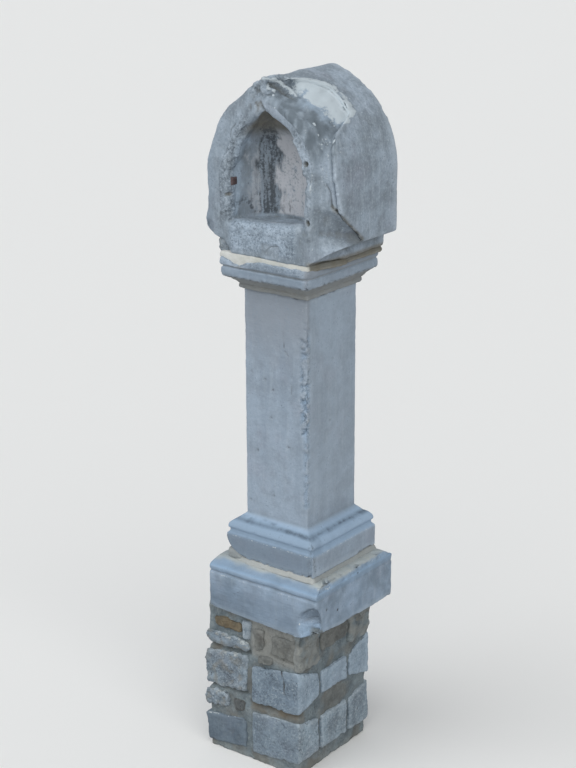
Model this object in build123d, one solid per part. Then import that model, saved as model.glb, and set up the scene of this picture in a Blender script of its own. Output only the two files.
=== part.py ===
from build123d import *
import os

# Wayside shrine: a square stone pillar with a hollowed head, on a small rubble masonry plinth.
# Millimetres. X runs along the front, Y from the front to the back, Z up. The origin is on the
# ground, under the middle of the shaft.

# Courses of the pillar, from the plinth up
bed_under_block = 15
block_height = 182
bed_under_base = 15
base_height = 149
shaft_height = 775
capital_height = 107
bed_under_head = 13
head_height = 570

# Shaft, and how far the mouldings stand out from it
shaft_width = 250
shaft_depth = 270
base_reach_side = 56
base_reach_front = 45
capital_reach_side = 46
capital_reach_front = 62

# Lower block, with a quirked and weathered edge along the front and the back
block_width = 447
block_depth = 440
block_face_height = 133
block_quirk = 6
block_nose_height = 24
block_weathering = 32
block_end_bevel = 12
block_spall_radius = 120
block_spall_offset = 62
block_spall_height = 36

# Base: broken at the front left, where the bed fills it
base_break = 54

# Head stone
head_width = 500
head_reach_front = 50
head_spring = 260
head_arris = 30
back_arris = 14
neck_width = 400
neck_height = 44
neck_undercut = 14
neck_setback = 6

# Broken front corners of the neck, as lengths along the front and the side, and how high the right
# one reaches at its inner end and above the neck's side
neck_break_left = (58, 55)
neck_break_right = (38, 156)
neck_break_low = 10
neck_break_high = 32

# Niche in the head stone
niche_width = 296
niche_floor = 105
niche_side = 170
niche_rise = 178
niche_arris = 10
sill_arris = 26

# Lost front arris of the head, from the foot up over the arch, and the skin that is left behind it.
# The ledge of the skin runs through (distance behind the front, height) points.
spall_jamb = 8
spall_back = 40
spall_skin = 13
spall_angle = 70
spall_ledge = ((165, 64), (85, 136), (30, 190), (50, 220), (36, 290))

# Loss over the right shoulder, as (depth under the arch, distance behind the front), and the share of
# it at each angle above the spring. It has no more than this clearance over the arch where it ends.
shoulder_loss = ((80, 0), (24, 85), (-3, 195))
shoulder_shares = ((22, 0), (33, 1), (45, 1), (56, 1), (66, 0.5), (77, 0))
shoulder_clearance = 1

# Fixings of a lost grille. A pin hole's place is its distance outside the niche and its height.
plug_size = 26
plug_length = 60
plug_stand_out = 9
plug_setback = 31
plug_height = 227
pin_hole_radius = 8.5
pin_hole_depth = 34
pin_holes = ((9, 320), (14, 137))

# Plinth masonry
plinth_left = 250
plinth_right = 143
plinth_depth = 412
column_joint = 72
joint = 14
joint_recess = 9
corner_depth = 118
stone_arris = 6

# Left column of the plinth, from the ground up
footing_height = 147
footing_joint = 26
small_height = 63
small_width = 92
pinning_width = 46
pinning_height = 52
rough_height = 135
rough_joint = 20
long_height = 45
upright_width = 38
ochre_height = 60

# Right column of the plinth, from the ground up
low_quoin_height = 195
quoin_joint = 33
high_quoin_height = 144
rubble_end_width = 44
rubble_low_height = 38

# Levels and faces worked out from the values above
footing_top = footing_height
small_bottom = footing_top + footing_joint
small_top = small_bottom + small_height
rough_bottom = small_top + joint
rough_top = rough_bottom + rough_height
long_bottom = rough_top + rough_joint
long_top = long_bottom + long_height
ochre_bottom = long_top + joint
plinth_top = ochre_bottom + ochre_height
high_quoin_bottom = low_quoin_height + quoin_joint
high_quoin_top = high_quoin_bottom + high_quoin_height
rubble_bottom = high_quoin_top + joint

block_bottom = plinth_top + bed_under_block
block_top = block_bottom + block_height
base_bottom = block_top + bed_under_base
shaft_bottom = base_bottom + base_height
shaft_top = shaft_bottom + shaft_height
capital_top = shaft_top + capital_height
head_bottom = capital_top + bed_under_head
head_depth = shaft_depth + 2 * head_reach_front
head_front = -head_depth / 2
neck_top = head_bottom + neck_height
spring = head_bottom + head_spring
arch_centre = ((head_width / 2)**2 - (head_height - head_spring)**2) / head_width
niche_radius = niche_width / 2
niche_bottom = head_bottom + niche_floor

# Mouldings as (share of the reach, height, bulge of the stretch up to the next point)
base_profile = (
    (1.00, 0, 0),
    (1.00, 73, 0),
    (0.76, 76, 15),
    (0.49, 126, 0),
    (0.00, base_height, 0),
    (0.00, base_height + shaft_height, 0),
)
capital_profile = (
    (0.24, 0, 6),
    (0.24, 16, 0),
    (0.36, 18, -7),
    (0.90, 40, 0),
    (0.97, 46, 0),
    (0.96, 73, 0),
    (0.88, 76, 0),
    (0.98, 80, 4),
    (0.84, capital_height, 0),
)


def closed_face(points):
    """A face whose outline runs through (x, y, bulge) points, straight where the bulge is 0."""
    edges = []
    for (x0, y0, bulge), (x1, y1, _) in zip(points, points[1:] + points[:1]):
        if bulge:
            edges.append(SagittaArc((x0, y0), (x1, y1), -bulge))
        else:
            edges.append(Line((x0, y0), (x1, y1)))
    return make_face(edges)


def both_sides(profile, half):
    """The upright outline of a stone, from (distance outside half, height, bulge) points."""
    right = [(half + out, z, bulge) for out, z, bulge in profile]
    bulges = [0] + [bulge for _, _, bulge in profile][:-1]
    left = [(-x, z, bulge) for (x, z, _), bulge in zip(right, bulges)]
    return closed_face(right + left[::-1])


def crossed(end_profile, half_width, front_profile, half_depth, bottom):
    """A stone with one outline seen from the front and one from the side, mitred where they meet."""
    reach = 2 * (half_width + half_depth)
    seen_from_front = extrude(Plane.XZ * both_sides(end_profile, half_width), reach, both=True)
    seen_from_side = extrude(Plane.YZ * both_sides(front_profile, half_depth), reach, both=True)
    return Pos(0, 0, bottom) * (seen_from_front & seen_from_side)


def moulded(profile, reach_side, reach_front, bottom):
    """A stone that carries one moulding round all four sides of the shaft's plan."""
    ends = [(share * reach_side, z, bulge) for share, z, bulge in profile]
    fronts = [(share * reach_front, z, bulge) for share, z, bulge in profile]
    return crossed(ends, shaft_width / 2, fronts, shaft_depth / 2, bottom)


def block(x0, x1, y0, y1, z0, z1):
    return Pos(x0, y0, z0) * Box(x1 - x0, y1 - y0, z1 - z0, align=(Align.MIN, Align.MIN, Align.MIN))


def make_lower_block():
    face = block_face_height
    nose = face + block_nose_height
    fronts = (
        (0, 0, 0),
        (0, face, 0),
        (-block_quirk, face + block_quirk / 2, 0),
        (-block_quirk, face + block_quirk * 3 / 2, 0),
        (0, face + block_quirk * 2, 0),
        (0, nose, 4),
        (-block_quirk * 2, nose + block_quirk * 3 / 2, 0),
        (-block_quirk * 2 - block_weathering, block_height, 0),
    )
    ends = ((0, 0, 0), (0, block_height - block_end_bevel, 0), (-block_end_bevel, block_height, 0))
    stone = crossed(ends, block_width / 2, fronts, block_depth / 2, block_bottom)
    spall = Pos(
        block_width / 2 + block_spall_offset,
        -block_depth / 2 - block_spall_offset,
        block_bottom + block_spall_height,
    ) * Sphere(block_spall_radius)
    return stone - spall


def make_base_break():
    corner = Pos(-shaft_width / 2 - base_reach_side, -shaft_depth / 2 - base_reach_front, base_bottom)
    return corner * Sphere(base_break)


def make_shaft():
    return moulded(base_profile, base_reach_side, base_reach_front, base_bottom) - make_base_break()


def make_base_bed():
    half_width = shaft_width / 2 + base_reach_side
    half_depth = shaft_depth / 2 + base_reach_front
    whole_base = moulded(base_profile, base_reach_side, base_reach_front, base_bottom)
    bed = block(-half_width, half_width, -half_depth, half_depth, block_top, base_bottom)
    return bed + (whole_base & make_base_break())


def make_head_bed():
    share = capital_profile[-1][0]
    foot = Plane.XY.offset(capital_top) * Rectangle(
        shaft_width + 2 * share * capital_reach_side, shaft_depth + 2 * share * capital_reach_front)
    head = Plane.XY.offset(head_bottom) * Rectangle(
        neck_width - 2 * neck_setback, head_depth - 4 * neck_setback)
    return loft([foot, head])


def head_outline():
    """The head stone from the front: a narrow neck under a pointed arch of two arcs."""
    half = head_width / 2
    neck = neck_width / 2
    edge = neck_top + neck_undercut
    apex = head_bottom + head_height
    foot = Polyline((-half, spring), (-half, edge), (-neck, neck_top), (-neck, head_bottom),
                    (neck, head_bottom), (neck, neck_top), (half, edge), (half, spring))
    right_arc = TangentArc((half, spring), (0, apex), tangent=(0, 1))
    left_arc = TangentArc((-half, spring), (0, apex), tangent=(0, 1))
    return make_face([*foot.edges(), right_arc, left_arc])


def niche_hollow():
    """An apse: half of a round pointed vault, turned about an upright axis in the front face."""
    vault_spring = niche_bottom + niche_side
    apex = vault_spring + niche_rise
    wall = Polyline((0, apex), (0, niche_bottom), (niche_radius, niche_bottom), (niche_radius, vault_spring))
    vault = TangentArc((niche_radius, vault_spring), (0, apex), tangent=(0, 1))
    section = Plane.XZ * make_face([*wall.edges(), vault])
    return Pos(0, head_front, 0) * revolve(section, Axis.Z)


def sill_arris_waste():
    """What is rounded off along the sill, between the jambs."""
    y, z, r = head_front, niche_bottom, sill_arris
    square = Polyline((y, z - r), (y - r, z - r), (y - r, z + r), (y + r, z + r), (y + r, z))
    corner = make_face([*square.edges(), SagittaArc((y, z - r), (y + r, z), r * 0.29)])
    return extrude(Plane.YZ * corner, niche_radius - niche_arris, both=True)


def arch_axis():
    """The axis that the right arc of the head's arch turns about, so that angles go upwards."""
    return Axis((arch_centre, 0, spring), (0, -1, 0))


def lost_shoulder():
    """What has broken off over the right shoulder, from the front to the middle of the stone."""
    surface = head_width / 2 + shoulder_clearance
    outside = surface + head_arris
    before = head_front - head_arris
    sections = []
    for angle, share in shoulder_shares:
        slope = [(surface - (depth + shoulder_clearance) * share, head_front + back)
                 for depth, back in shoulder_loss]
        outline = Polyline(*slope, (outside, slope[-1][1]), (outside, before), (slope[0][0], before),
                           close=True)
        sections.append((Plane.XY.offset(spring) * make_face(outline)).rotate(arch_axis(), angle))
    return loft(sections, ruled=True)


def broken_corner(side, lengths, height):
    """A front corner of the neck, on the side given as -1 or 1, up to a height above the foot."""
    across, back = lengths
    x, y = side * neck_width / 2, head_front
    plan = make_face(Polyline((x - side * across, y), (x, y + back), (x, y), close=True))
    return extrude(Plane.XY.offset(head_bottom) * plan, height)


def neck_waste():
    """Both broken corners. The top of the right one rises from the front to the neck's side."""
    right = neck_width / 2
    inner = right - neck_break_right[0]
    rise = make_face(Polyline((inner, head_bottom), (inner, head_bottom + neck_break_low),
                              (right, head_bottom + neck_break_high), (right, head_bottom), close=True))
    under = extrude(Plane.XZ * rise, head_depth, both=True)
    left_corner = broken_corner(-1, neck_break_left, neck_height)
    return left_corner + (broken_corner(1, neck_break_right, neck_height) & under)


def lost_arris():
    """What has broken off the head's right front arris: a slope up the side and over the arch."""
    half = head_width / 2
    jamb = niche_radius + spall_jamb
    outside = half + head_arris
    before = head_front - head_arris
    slope = make_face(Polyline((jamb, head_front), (half - spall_skin, head_front + spall_back),
                               (outside, head_front + spall_back), (outside, before), (jamb, before),
                               close=True))
    at_spring = Plane.XY.offset(spring) * slope
    up_the_side = extrude(at_spring, neck_top - spring)
    over_the_arch = revolve(at_spring, arch_axis(), spall_angle)
    ledge = [(head_front + back, head_bottom + up) for back, up in spall_ledge]
    skin_face = make_face(Polyline((before, neck_top), *ledge, (before, ledge[-1][1]), close=True))
    skin = extrude(Plane.YZ.offset(half - spall_skin) * skin_face, spall_skin + head_arris)
    return up_the_side + over_the_arch + skin


def plug_bar(length):
    """The iron plug, level, through the left reveal of the niche."""
    reveal = -(niche_radius**2 - plug_setback**2)**0.5
    inner_end = Pos(reveal + plug_stand_out, head_front + plug_setback, head_bottom + plug_height)
    return inner_end * Box(length, plug_size, plug_size, align=(Align.MAX, Align.CENTER, Align.CENTER))


def pin_hole(outside, height):
    """A shallow round hole that slants into the right jamb."""
    x, z = niche_radius + outside, head_bottom + height
    mouth = Plane((x, head_front, z), x_dir=(0, 0, 1), z_dir=(1, 1, 0))
    return mouth * Cylinder(pin_hole_radius, 2 * pin_hole_depth)


def make_niche_head():
    stone = extrude(Plane.XZ * head_outline(), head_depth / 2, both=True)
    arch_edges = stone.edges().filter_by(lambda e: e.center().Z > head_bottom + head_spring / 2)
    stone = fillet(arch_edges.filter_by(lambda e: e.center().Y < head_front + 1), head_arris)
    arch_edges = stone.edges().filter_by(lambda e: e.center().Z > head_bottom + head_spring / 2)
    stone = chamfer(arch_edges.filter_by(lambda e: e.center().Y > -head_front - 1), back_arris)
    stone -= niche_hollow()
    mouth = stone.edges().filter_by(
        lambda e: abs(e.center().Y - head_front) < 1 and abs(e.center().X) < niche_radius + 1
        and e.center().Z > niche_bottom + 1)
    stone = chamfer(mouth, niche_arris)
    stone -= sill_arris_waste()
    stone -= lost_arris()
    stone -= lost_shoulder()
    stone -= neck_waste()
    stone -= plug_bar(plug_length)
    for outside, height in pin_holes:
        stone -= pin_hole(outside, height)
    return stone


def plinth_stones():
    """Each stone of the plinth as (x from, x to, y from, y to, z from, z to), by its name."""
    half = plinth_depth / 2
    left = -plinth_left
    left_end = -column_joint - joint / 2
    right_start = -column_joint + joint / 2
    right = plinth_right
    pinning_end = left_end - joint / 2
    pinning_start = pinning_end - pinning_width
    rubble_start = right_start + rubble_end_width + joint
    upright_start = left_end - upright_width
    low_top = rubble_bottom + rubble_low_height
    faces = {
        "footing_block": (left, left_end, 0, footing_top),
        "small_block": (left, left + small_width, small_bottom, small_top),
        "pinning_stone": (pinning_start, pinning_end, small_bottom, small_bottom + pinning_height),
        "rough_block": (left, left_end, rough_bottom, rough_top),
        "long_stone": (left, left_end, long_bottom, long_top),
        "ochre_stone": (left, upright_start - joint / 2, ochre_bottom, plinth_top),
        "upright_stone": (upright_start, left_end, ochre_bottom, plinth_top),
        "low_quoin": (right_start, right, 0, low_quoin_height),
        "high_quoin": (right_start, right, high_quoin_bottom, high_quoin_top),
        "rubble_end": (right_start, right_start + rubble_end_width, low_top + joint, plinth_top),
        "rubble_low": (right_start, rubble_start + joint, rubble_bottom, low_top),
        "rubble_block": (rubble_start + 2 * joint, right, rubble_bottom, plinth_top),
    }
    stones = {}
    for name, (x0, x1, z0, z1) in faces.items():
        stones["front_" + name] = (x0, x1, -half, -half + corner_depth, z0, z1)
        stones["back_" + name] = (x0, x1, half - corner_depth, half, z0, z1)
    middle = half - corner_depth - joint
    for name in ("footing_block", "small_block", "rough_block", "ochre_stone"):
        _, _, z0, z1 = faces[name]
        stones["left_" + name] = (left, left + corner_depth, -middle, middle, z0, z1)
    for name in ("low_quoin", "high_quoin", "rubble_block"):
        _, _, z0, z1 = faces[name]
        stones["right_" + name] = (right - corner_depth, right, -middle, middle, z0, z1)
    return stones


def make_plinth_mortar(stones):
    half = plinth_depth / 2 - joint_recess
    mortar = block(-plinth_left + joint_recess, plinth_right - joint_recess, -half, half, 0, block_bottom)
    for corners in stones.values():
        mortar -= block(*corners)
    return mortar


os.makedirs("parts", exist_ok=True)
stones = plinth_stones()
pieces = {
    "niche_head": make_niche_head(),
    "iron_plug": plug_bar(plug_length),
    "head_bed": make_head_bed(),
    "capital": moulded(capital_profile, capital_reach_side, capital_reach_front, shaft_top),
    "shaft": make_shaft(),
    "base_bed": make_base_bed(),
    "lower_block": make_lower_block(),
    "plinth_mortar": make_plinth_mortar(stones),
}
for name, corners in stones.items():
    stone = block(*corners)
    pieces[name] = chamfer(stone.edges(), stone_arris)
for name, piece in pieces.items():
    export_step(piece, f"parts/{name}.step")
    print(name, round(piece.volume / 1e6, 2), "litres")
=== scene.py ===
import math

import bpy
import numpy as np
from mathutils import Euler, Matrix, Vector


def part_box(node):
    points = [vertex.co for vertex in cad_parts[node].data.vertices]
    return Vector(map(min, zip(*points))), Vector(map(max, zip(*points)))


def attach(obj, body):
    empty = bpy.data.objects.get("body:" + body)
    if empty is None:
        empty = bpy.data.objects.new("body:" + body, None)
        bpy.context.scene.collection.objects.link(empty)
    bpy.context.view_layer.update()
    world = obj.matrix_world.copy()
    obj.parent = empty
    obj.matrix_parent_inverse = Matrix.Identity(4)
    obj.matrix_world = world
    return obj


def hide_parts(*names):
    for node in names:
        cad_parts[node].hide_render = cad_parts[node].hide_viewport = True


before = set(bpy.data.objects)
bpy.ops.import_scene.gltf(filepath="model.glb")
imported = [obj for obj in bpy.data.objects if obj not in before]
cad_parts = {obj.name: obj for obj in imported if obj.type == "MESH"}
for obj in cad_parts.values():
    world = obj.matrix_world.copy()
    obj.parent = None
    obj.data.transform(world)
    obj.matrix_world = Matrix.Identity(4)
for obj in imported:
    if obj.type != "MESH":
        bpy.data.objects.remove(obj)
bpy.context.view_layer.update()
print("frame loaded:", len(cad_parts), "nodes")

# Shapes are worked out in millimetres, in the frame's own axes: X right, Y back, Z up.
millimetre = 0.001


# A CAD node's box in millimetres: its lowest and its highest corner
def nodeBox(node):
    low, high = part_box(node)
    return np.array(low) / millimetre, np.array(high) / millimetre


# Noise, for an array of points. A seed picks the pattern, and a size in millimetres its scale.
directions = np.random.default_rng(7).normal(size=(256, 3))
directions /= np.linalg.norm(directions, axis=1)[:, None]
jumble = np.random.default_rng(11).permutation(256)


# A fixed number from 0 to 255 for each cell: x, y and z are looked up in the jumble, one after the other.
def cornerHash(cell, seed):
    x, y, z = (cell[..., k] & 255 for k in range(3))
    return jumble[(jumble[(jumble[(x + seed) & 255] + y) & 255] + z) & 255]


# Gradient noise: each corner of a point's lattice cell has a fixed direction, dotted with the way to
# the point, and the eight results are mixed by 6t^5 - 15t^4 + 10t^3 of the place in the cell.
def gradientNoise(points, seed):
    cell = np.floor(points).astype(np.int64)
    part = points - cell
    fade = part ** 3 * (part * (part * 6 - 15) + 10)
    total = 0
    for corner in np.ndindex(2, 2, 2):
        step = np.array(corner)
        value = np.sum(directions[cornerHash(cell + step, seed)] * (part - step), axis=-1)
        total = total + value * np.prod(np.where(step, fade, 1 - fade), axis=-1)
    return total * 1.6      # to about -1 to 1


# Cloud: octaves of gradient noise, each of half the size and a share of the height of the last.
def cloud(points, size, seed, octaves, keep=0.5):
    total = 0
    for octave in range(octaves):
        scaled = points * (2 ** octave / np.asarray(size))
        total = total + gradientNoise(scaled, seed + 17 * octave) * keep ** octave
    return total


# Pits: how near a point is to the closest of one jittered seed in each lattice cell, as 1 at the
# seed falling to 0 at half a cell away.
def pits(points, size, seed):
    place = points / size
    cell = np.floor(place).astype(np.int64)
    best = np.full(points.shape[:-1], 9.0)
    for corner in np.ndindex(3, 3, 3):
        near = cell + (np.array(corner) - 1)
        number = cornerHash(near, seed)
        jitter = 0.5 + 0.42 * directions[(number * 7 + seed) & 255]
        best = np.minimum(best, np.linalg.norm(near + jitter - place, axis=-1))
    return np.clip(1 - 2 * best, 0, 1)


# 3t^2 - 2t^3 of the share of the way from low to high.
def ease(low, high, value):
    t = np.clip((value - low) / (high - low), 0, 1)
    return t * t * (3 - 2 * t)


# A value kept between 0 and 1.
def limit(values):
    return np.clip(values, 0, 1)


# 1 from the second level to the third, easing to 0 at the first and at the fourth.
def band(value, first, second, third, fourth):
    return ease(first, second, value) * ease(fourth, third, value)


# Blotches: 0 where a cloud is under low, 1 where it is over high.
def blotches(points, size, seed, low, high, octaves=3):
    return ease(low, high, cloud(points, size, seed, octaves))


# X, Y and Z of an array of points, each as an array
def axes(points):
    return points[..., 0], points[..., 1], points[..., 2]


# 1 inside a box of the given middle and half sizes, falling softly to 0 over a margin.
def patch(points, middle, half, margin):
    out = np.maximum(np.abs(points - np.array(middle)) - np.array(half), 0)
    return 1 - ease(0, margin, np.linalg.norm(out, axis=-1))


# Evenly spaced points along a run of corners: how far along they are, the points, and its length.
def evenly(corners, step):
    along = np.concatenate([[0], np.cumsum(np.linalg.norm(np.diff(corners, axis=0), axis=1))])
    fine = np.arange(0, along[-1], step)
    return fine, np.column_stack([np.interp(fine, along, axis) for axis in corners.T]), along[-1]


# Points each step along a run of corners, rounded by a Gaussian whose spread is soft. The ends stay.
def softPath(corners, step, soft, fineStep=0.5):
    _, points, length = evenly(np.array(corners, float), fineStep)
    reach = int(6 * soft)
    weight = np.exp(-0.5 * (np.arange(-reach, reach + 1) * fineStep / soft) ** 2)
    padded = np.pad(points, ((reach, reach), (0, 0)), mode="edge")
    smooth = np.column_stack([np.convolve(axis, weight / weight.sum(), "valid") for axis in padded.T])
    count = max(int(length / step), 2)
    return smooth[np.linspace(0, len(smooth) - 1, count).round().astype(int)]


# The same for a closed run, with its points 1 mm apart: the Gaussian works on its Fourier
# coefficients, as exp(-(w s)^2 / 2).
def softLoop(corners, soft):
    corners = np.array(corners, float)
    fine, points, length = evenly(np.concatenate([corners, corners[:1]]), 1.0)
    turns = 2 * np.pi * np.fft.rfftfreq(len(fine), length / len(fine))
    spread = np.exp(-0.5 * (turns * soft) ** 2)[:, None]
    return fine, np.fft.irfft(np.fft.rfft(points, axis=0) * spread, len(fine), axis=0)


# Outward normals of rows of rings: the cross product of the step along the ring and from row to row.
# The sign of the enclosed volume says which way is out.
def outward(rows):
    along = np.roll(rows, -1, axis=1) - np.roll(rows, 1, axis=1)
    across = np.gradient(rows, axis=0)
    normal = np.cross(along, across)
    sign = np.sign(np.sum(normal * (rows - rows.mean(axis=(0, 1)))))
    return sign * normal / np.maximum(np.linalg.norm(normal, axis=2, keepdims=True), 1e-9)


# Moves rows of rings in along their normals, by a depth at each point.
def sink(rows, depth):
    return rows - outward(rows) * depth[..., None]


# Moves points in one direction, by an amount at each point.
def shift(rows, way, amount):
    return rows + np.array(way) * amount[..., None]


# The mean of the points a few steps away in each direction, on rows of rings.
def around(values, steps):
    index = np.arange(len(values))
    above = values[np.clip(index + steps, 0, len(values) - 1)]
    below = values[np.clip(index - steps, 0, len(values) - 1)]
    return (np.roll(values, steps, axis=1) + np.roll(values, -steps, axis=1) + above + below) / 4


# How far a point stands out from its neighbours, in shares of the way to them.
def standingOut(rows, normals, steps=2):
    way = around(rows, steps) - rows
    step = np.linalg.norm(np.roll(rows, steps, axis=1) - rows, axis=2).mean()
    return -np.sum(way * normals, axis=2) / step


# Weathers rows of rings. Along the outward normal it adds a swell and a finer roughness, and takes
# away pits and chips, the chips only where the stone stands out. where scales the pits, and calm all.
def weather(rows, look, seed, where=1, calm=1):
    normals = outward(rows)
    arris = limit(standingOut(rows, normals) * 2.2)
    height = look["swell"] * cloud(rows, look.get("swellSize", 160), seed, 2)
    height = height + look["rough"] * cloud(rows, look.get("roughSize", 28), seed + 3, 3)
    if look["pit"]:
        spots = pits(rows, look["pitSize"], seed + 5) ** 0.6
        height = height - look["pit"] * where * spots * blotches(rows, 70, seed + 8, -0.2, 0.5, 2)
    height = height - look["chip"] * arris * blotches(rows, look.get("chipSize", 38), seed + 9, 0.05, 0.6)
    return rows + normals * (height * calm)[..., None]


# A mesh of quads between rings, closed by a fan of triangles at a pole before the first row and
# after the last. The poles are the means of their rings. Each mark becomes an attribute. The finish
# names the material.
def skin(name, rows, marks, finish, node):
    count, ring, _ = rows.shape
    points = np.concatenate([rows.reshape(-1, 3), rows[:1].mean(axis=1), rows[-1:].mean(axis=1)])
    index = np.arange(count * ring).reshape(count, ring)
    right = np.roll(index, -1, axis=1)
    quads = np.stack([index[:-1], right[:-1], right[1:], index[1:]], axis=-1).reshape(-1, 4)
    pole = count * ring
    fans = np.concatenate([
        np.stack([np.full(ring, pole), right[0], index[0]], axis=-1),
        np.stack([np.full(ring, pole + 1), index[-1], right[-1]], axis=-1)])
    middle = points.mean(axis=0)
    a, b, c = (points[quads[:, k]] - middle for k in range(3))
    if np.sum(np.cross(a, b) * c) < 0:
        quads, fans = quads[:, ::-1], fans[:, ::-1]
    mesh = bpy.data.meshes.new(name)
    mesh.vertices.add(len(points))
    mesh.vertices.foreach_set("co", (points * millimetre).astype(np.float32).ravel())
    corners = np.concatenate([quads.ravel(), fans.ravel()]).astype(np.int32)
    sizes = np.concatenate([np.full(len(quads), 4), np.full(len(fans), 3)])
    mesh.loops.add(len(corners))
    mesh.loops.foreach_set("vertex_index", corners)
    mesh.polygons.add(len(sizes))
    starts = np.concatenate([[0], np.cumsum(sizes)[:-1]]).astype(np.int32)
    mesh.polygons.foreach_set("loop_start", starts)
    mesh.polygons.foreach_set("use_smooth", np.ones(len(sizes), bool))
    mesh.update(calc_edges=True)
    for mark, values in marks.items():
        values = np.broadcast_to(values, rows.shape[:2])
        layer = mesh.attributes.new(mark, "FLOAT", "POINT")
        ends = [values[0].mean(), values[-1].mean()]
        layer.data.foreach_set("value", np.concatenate([values.ravel(), ends]).astype(np.float32))
    piece = bpy.data.objects.new(name, mesh)
    bpy.context.scene.collection.objects.link(piece)
    mesh.materials.append(materials[finish])
    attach(piece, "root")
    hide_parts(node)


# Adds to marks, and keeps them between 0 and 1. The mark for the bluer tone and painted sky light
# may go to 2, which covers a stone wholly.
def addMarks(marks, own):
    for key, values in own.items():
        marks[key] = np.clip(marks.get(key, 0) + values, 0, 2 if key == "coolAndSkyLit" else 1)
    return marks


# Marks for a material: those that every stone carries, which are its arrises, its hollows, darker with
# dirt and painted shade, and painted shade on the faces that turn to the front, and those of its own.
def wearAndShadeMarks(rows, frontShade=0, own=None):
    normals = outward(rows)
    bend = around(standingOut(rows, normals, 1), 1) * 1.5 + around(standingOut(rows, normals, 4), 2) * 1.2
    front = frontShade * ease(-0.6, -0.95, normals[..., 1])
    return addMarks({"arris": limit(bend * 1.6), "hollow": limit(-bend * 2.2), "deep": front}, own or {})


# Shader maths: wraps a socket, so that expressions on values add their Math nodes.
class Wire:
    def __init__(self, tree, socket=None):
        self.tree, self.socket = tree, socket

    # Adds a node: its settings first, then values or wires for its sockets.
    def node(self, kind, settings, sockets, output=0):
        made = self.tree.nodes.new(kind)
        for key, value in settings.items():
            setattr(made, key, value)
        for key, value in sockets.items():
            if isinstance(value, Wire):
                self.tree.links.new(value.socket, made.inputs[key])
            else:
                made.inputs[key].default_value = value
        return Wire(self.tree, made.outputs[output])

    def maths(self, operation, *values):
        return self.node("ShaderNodeMath", {"operation": operation}, dict(enumerate(values)))

    def __add__(self, other):
        return self.maths("ADD", self, other)

    def __sub__(self, other):
        return self.maths("SUBTRACT", self, other)

    def __rsub__(self, other):
        return self.maths("SUBTRACT", other, self)

    def __mul__(self, other):
        return self.maths("MULTIPLY", self, other)

    __radd__, __rmul__ = __add__, __mul__

    # 0 to 1 as the value goes from low to high, eased at both ends.
    def ease(self, low, high):
        levels = {0: self, 1: low, 2: high, 3: 0.0, 4: 1.0}
        return self.node("ShaderNodeMapRange", {"interpolation_type": "SMOOTHSTEP"}, levels)

    # A colour between two, with this value as the share of the second.
    def mix(self, first, second):
        return self.node("ShaderNodeMix", {"data_type": "RGBA"}, {0: self, 6: first, 7: second}, 2)


# A colour as it looks on screen, from 0 to 255, as Blender's linear value.
def shade(red, green, blue):
    values = np.array([red, green, blue]) / 255
    linear = np.where(values < 0.04045, values / 12.92, ((values + 0.055) / 1.055) ** 2.4)
    return (*[float(v) for v in linear], 1.0)
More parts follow.
